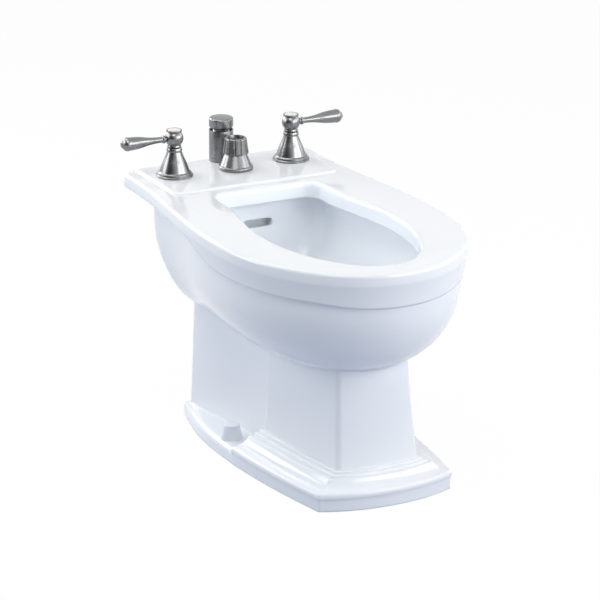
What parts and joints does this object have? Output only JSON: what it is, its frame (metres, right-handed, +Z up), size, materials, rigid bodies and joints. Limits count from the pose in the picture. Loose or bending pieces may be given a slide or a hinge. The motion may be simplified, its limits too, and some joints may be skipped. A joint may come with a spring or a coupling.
{
  "type": "bidet",
  "caption": "Floor-standing ceramic bidet with a moulded pedestal, flushing rim, widespread lever faucet set, vacuum breaker, diverter knob and pop-up drain.",
  "frame": {"origin": "on the floor, midway between the two floor bolts", "axes": "+Z up, +Y towards the wall and the faucet ledge, -Y the front of the bowl, hot handle on the -X side"},
  "size_m": [0.3832, 0.651, 0.456],
  "materials": {
    "vitreous_china": "glossy white glaze",
    "satin_nickel": "satin",
    "polished_nickel": "polished",
    "porcelain": "glossy",
    "fastener_steel": "plain",
    "brass": "machined",
    "copper_tube": "drawn tube",
    "rubber": "matte",
    "moulded_plastic": "matte",
    "glossy_cap_plastic": "glossy"
  },
  "bodies": {
    "fixture": {"china_body": "vitreous_china", "hot_escutcheon": "satin_nickel", "hot_valve_body": "brass", "hot_deck_washer": "rubber", "hot_locknut": "brass", "hot_mixing_tube": "copper_tube", "cold_escutcheon": "satin_nickel", "cold_valve_body": "brass", "cold_deck_washer": "rubber", "cold_locknut": "brass", "cold_mixing_tube": "copper_tube", "breaker_sleeve": "satin_nickel", "breaker_cap": "satin_nickel", "breaker_body": "brass", "breaker_deck_washer": "rubber", "breaker_locknut": "brass", "diverter_escutcheon": "satin_nickel", "diverter_body": "brass", "diverter_deck_washer": "rubber", "diverter_locknut": "brass", "transfer_tube": "copper_tube", "rim_feed_tube": "copper_tube", "spray_feed_tube": "copper_tube", "spray_rose": "polished_nickel", "spray_washer": "rubber", "spray_locknut": "brass", "drain_flange": "polished_nickel", "drain_gasket": "rubber", "drain_locknut": "brass", "drain_body": "brass", "pivot_nut": "brass", "slip_nut": "brass", "tailpiece": "brass", "floor_bolt_caps": "glossy_cap_plastic", "cap_seat_washers": "moulded_plastic"},
    "hot_handle": {"hot_handle_hub": "satin_nickel", "hot_lever": "satin_nickel", "hot_index_button": "porcelain", "hot_handle_screw": "fastener_steel", "hot_valve_stem": "brass"},
    "cold_handle": {"cold_handle_hub": "satin_nickel", "cold_lever": "satin_nickel", "cold_index_button": "porcelain", "cold_handle_screw": "fastener_steel", "cold_valve_stem": "brass"},
    "diverter_handle": {"diverter_knob": "satin_nickel", "diverter_stem": "brass"},
    "breaker_poppet": {"breaker_float": "moulded_plastic"},
    "lift": {"lift_knob": "satin_nickel", "lift_rod": "fastener_steel", "lift_strap": "fastener_steel", "strap_screw": "brass"},
    "pivot": {"pivot_rod": "fastener_steel"},
    "stopper": {"drain_stopper": "polished_nickel"}
  },
  "joints": [
    {"name": "hot_handle_turn", "type": "hinge", "parent": "fixture", "child": "hot_handle", "pos_m": [-0.1016, 0.231, 0.4415], "axis": [0, 0, 1], "range_deg": [0, 90]},
    {"name": "cold_handle_turn", "type": "hinge", "parent": "fixture", "child": "cold_handle", "pos_m": [0.1016, 0.231, 0.4415], "axis": [0, 0, 1], "range_deg": [-90, 0]},
    {"name": "diverter_turn", "type": "hinge", "parent": "fixture", "child": "diverter_handle", "pos_m": [0, 0.2215, 0.4], "axis": [0, 0, 1], "range_deg": [0, 90]},
    {"name": "breaker_poppet_slide", "type": "slide", "parent": "fixture", "child": "breaker_poppet", "axis": [0, 0, 1], "range_m": [0, 0.004]},
    {"name": "lift_knob_slide", "type": "slide", "parent": "fixture", "child": "lift", "axis": [0, 0, 1], "range_m": [0, 0.025]},
    {"name": "pivot_rod_tilt", "type": "hinge", "parent": "fixture", "child": "pivot", "pos_m": [0, 0.104, 0.15], "axis": [1, 0, 0], "range_deg": [0, 12.82]},
    {"name": "stopper_slide", "type": "slide", "parent": "fixture", "child": "stopper", "axis": [0, 0, 1], "range_m": [-0.00649, 0]}
  ],
  "couplings": [
    {"joint": "pivot_rod_tilt", "follows": "lift_knob_slide", "rad_per_m": 8.9445},
    {"joint": "stopper_slide", "follows": "lift_knob_slide", "ratio": -0.25939}
  ]
}
